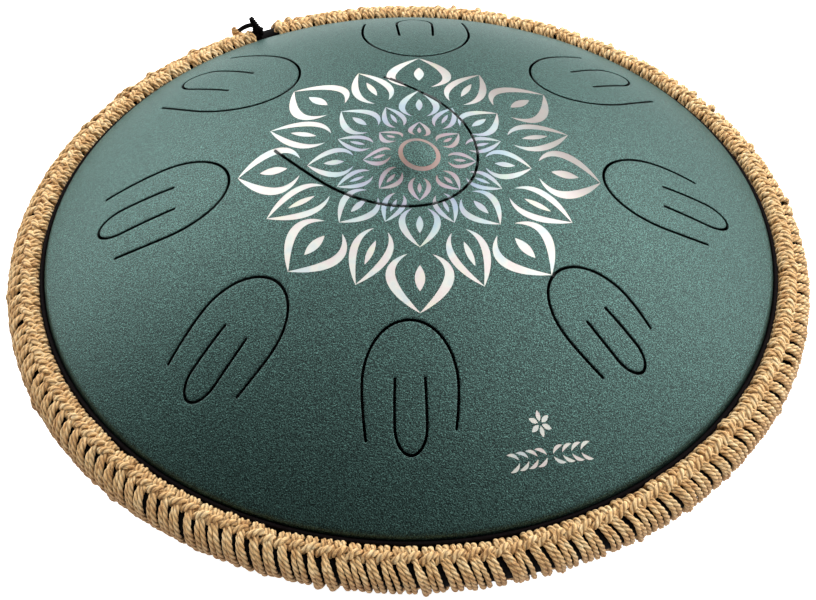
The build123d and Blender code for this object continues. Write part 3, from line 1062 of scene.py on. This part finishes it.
def rope_binding(rope):
    """The whole binding, in equal parts round the drum."""
    rng = np.random.default_rng(11)
    first = GAP_AZIMUTH + GAP_ANGLE / 2 + PITCH / 2
    azimuths = first + PITCH * np.arange(STITCHES)
    sets = (
        ("rope_strands", wrap_lines(rng), (STRAND, STRAND), azimuths, "rope_wrap"),
        ("upper_knots", knot_lines(rng, 1), KNOT_RADII, azimuths, "upper_knot_chain"),
        ("lower_knots", knot_lines(rng, -1), KNOT_RADII, azimuths + PITCH, "lower_knot_chain"),
    )
    for part, chosen in enumerate(np.array_split(np.arange(STITCHES), ROPE_PARTS)):
        for name, lines, sizes, places, node in sets:
            groups = []
            for local, size in zip(lines, sizes):
                radii = size * (1 + rng.normal(0, STRAND_SPREAD, (len(chosen), 1)))
                phases = rng.uniform(0, 2 * math.pi, len(chosen))
                groups.append(strands(on_drum(local[chosen], places[chosen]), radii, phases))
            strand_mesh(f"{name}_{part + 1}", groups, rope, [node])


# --- the tie ---
TIE_SPOT = (193.5, 115.2, 11.8)    # radius, azimuth, height above the mid-plane
TIE_HALF = (2.2, 3.6, 4.8)     # half its size outward, sideways and upwards
TIE_CORD = 1.3                 # radius of the cord in the knot
TIE_LAY = 5.0                  # length of one full turn of its plies
TIE_STEPS = 90                 # points along the knot's cord
TUBE_STEPS = 10                # rings between two points of a short cord
LOOP_RADII = (2.3, 1.5)        # at the foot and at the tip
LOOP_POINTS = ((193.8, 115.2, 13.0), (194.2, 115.5, 16.9), (194.6, 115.8, 19.3), (195.0, 116.05, 22.0))
TAIL_RADII = (1.45, 1.35)
TAIL_POINTS = (
    (194.6, 115.4, 15.0),
    (196.5, 115.75, 15.4),
    (199.6, 116.25, 13.0),
    (202.5, 116.6, 9.9),
    (205.5, 117.0, 6.0),
)
STUB_RADII = (2.3, 1.55)
STUB_POINTS = ((200.4, 118.1, 8.2), (200.8, 118.2, 10.3), (201.1, 118.3, 11.9), (201.3, 118.35, 12.9))
STUB_FIBRES = 46
FIBRE_RADII = (0.16, 0.05)
FIBRE_SPREAD = 0.5             # how far the fibres stray from the rope's middle
FIBRE_FAN = (0.5, 1.0, 1.1, 1.2)    # share of that at each point of a fibre
FIBRE_REACH = (0.2, 0.7)       # how far they stand out, in steps of the stub's points


def polar(radius, azimuth, height):
    """A point from its radius, azimuth in degrees and height above the flange mid-plane."""
    angle = math.radians(azimuth)
    return radius * math.cos(angle), radius * math.sin(angle), MID_Z + height


def tube_set(points, radius, end_radius):
    """One strand through a few points, given as (radius, azimuth, height)."""
    path = through(np.array([[polar(*point) for point in points]]), TUBE_STEPS)
    radii = np.linspace(radius, end_radius, path.shape[1])[None, :]
    return strands(path, radii, np.zeros(1), TIE_LAY)


def tie(cord):
    """The knot in the gap of the binding, with a standing loop and a tail over the rope."""
    t = np.linspace(0, 2 * math.pi, TIE_STEPS)
    outward = -np.sin(3 * t)
    sideways = (np.sin(t) + 2 * np.sin(2 * t)) / 3
    upwards = (np.cos(t) - 2 * np.cos(2 * t)) / 3
    shape = np.column_stack([outward, sideways, upwards]) * (np.array(TIE_HALF) - TIE_CORD)
    radius, azimuth, height = TIE_SPOT
    knots = []
    for flip in (1, -1):
        path = on_drum((shape * (1, flip, flip) + (radius, 0, height))[None], np.array([azimuth]))
        knots.append(strands(path, np.full((1, 1), TIE_CORD), np.zeros(1), TIE_LAY))
    strand_mesh("tie_knot_cord", knots, cord, ["tie_knot"])
    for node, points, radii in (
        ("tie_loop", LOOP_POINTS, LOOP_RADII),
        ("tie_tail", TAIL_POINTS, TAIL_RADII),
    ):
        strand_mesh(f"{node}_cord", [tube_set(points, *radii)], cord, [node])


def rope_end(rope):
    """The cut end of the rope beside the knot, with its fibres spreading."""
    rng = np.random.default_rng(5)
    groups = [tube_set(STUB_POINTS, *STUB_RADII)]
    base = np.array([polar(*point) for point in STUB_POINTS])
    for _ in range(STUB_FIBRES):
        stray = rng.normal(0, FIBRE_SPREAD, 3)
        end = base[-1] + (base[-1] - base[-2]) * rng.uniform(*FIBRE_REACH)
        line = np.array([*base[1:], end]) + np.outer(FIBRE_FAN, stray)
        path = through(line[None], 4)
        radii = np.linspace(*FIBRE_RADII, path.shape[1])[None, :]
        groups.append(strands(path, radii, np.zeros(1)))
    strand_mesh("rope_end_fibres", groups, rope, ["rope_tail"])


# --- light and floor ---
# Soft boxes of the studio: elevation, azimuth and strength.
SOFT_BOXES = (
    (90, 0, 0.84),
    (48, 6, 2.0),
    (55, 60, 1.5),
    (55, 120, 1.2),
    (20, 0, 0.8),
    (20, 45, 3.8),
    (20, 90, 0.3),
    (19, 131, 4.4),
)
BOX_CORE = 8                   # degrees from a box's middle up to which it has its full strength
BOX_EDGE = 42                  # and at which it ends
HORIZON_GLOW = 0.12            # strength of the white surroundings at floor level
HORIZON_RISE = 0.28            # height on the unit sphere at which they have faded


def studio_world():
    """A dim studio with soft boxes behind, beside and above the drum, and white low walls."""
    world = bpy.data.worlds.new("studio")
    bpy.context.scene.world = world
    world.use_nodes = True
    background = world.node_tree.nodes["Background"]
    background.inputs["Color"].default_value = (1.0, 1.0, 1.0, 1.0)
    direction = add_node(world, "ShaderNodeTexCoord").outputs["Generated"]
    strength = map_range(world, height_in(world, direction), 0.0, HORIZON_RISE, HORIZON_GLOW, 0.0)
    edge, core = [math.cos(math.radians(angle)) for angle in (BOX_EDGE, BOX_CORE)]
    for elevation, azimuth, power in SOFT_BOXES:
        rise, turn = math.radians(elevation), math.radians(azimuth)
        middle = (math.cos(rise) * math.cos(turn), math.cos(rise) * math.sin(turn), math.sin(rise))
        facing = vector_math(world, "DOT_PRODUCT", direction, middle)
        box = map_range(world, facing, edge, core, 0.0, power)
        strength = math_node(world, "ADD", strength, box)
    link(world, strength, background.inputs["Strength"])


FLOOR_RADIUS = 12.0            # metres
FLOOR_STEPS = 96
FLOOR_GLOW = 0.95              # how much the floor near the drum is lit from within
GLOW_START = (0.105, 0.125)    # radii, in metres, between which that light comes in and fades out
GLOW_END = (0.28, 0.50)
PORT_SHADE = (0.060, 0.066)    # radii between which the painted shadow on the floor under the sound port ends


def floor():
    """A plain white floor, lit from within round the drum, with a painted shadow under the sound port.
    """
    fixed = {"Roughness": 0.9, "Emission Color": (1.0, 1.0, 1.0, 1.0)}
    material, shader = new_material("white_floor", fixed)
    reach = vector_math(material, "LENGTH", object_coordinates(material))
    # painted shadow: the floor is near black under the sound port
    open_floor = map_range(material, reach, *PORT_SHADE, 0.0, 1.0)
    colour = mix_colour(material, open_floor, (0.004, 0.004, 0.004), (0.88, 0.88, 0.88))
    link(material, colour, shader.inputs["Base Color"])
    start = map_range(material, reach, *GLOW_START, 0.0, FLOOR_GLOW)
    end = map_range(material, reach, *GLOW_END, 1.0, 0.0)
    link(material, math_node(material, "MULTIPLY", start, end), shader.inputs["Emission Strength"])
    mesh = bpy.data.meshes.new("floor")
    ring = [(x, y, 0.0) for x, y in circle_outline((0, 0), FLOOR_RADIUS, FLOOR_STEPS)]
    mesh.from_pydata(ring, [], [list(range(FLOOR_STEPS))])
    mesh.materials.append(material)
    add_object("floor", mesh)


def paint_node(node, material):
    """Give a CAD node that is shown as it is a better material."""
    piece = bpy.data.objects[node]
    piece.data.materials.clear()
    piece.data.materials.append(material)


# --- the scene ---
add_camera()
bpy.context.scene.view_settings.view_transform = "Standard"
COAT = coated_steel()
STEEL = engraved_steel()
INSIDE = inside_steel()
RUBBER = black_rubber()
ROPE_FIBRE = jute()
CORD = dark_cord()
upper_bowl(COAT, STEEL, INSIDE)
lower_bowl(COAT, INSIDE)
rubber_channel(RUBBER)
rope_binding(ROPE_FIBRE)
tie(CORD)
rope_end(ROPE_FIBRE)
paint_node("flange_bond", cured_adhesive())
paint_node("upper_draw_cord", CORD)
paint_node("lower_draw_cord", CORD)
studio_world()
floor()
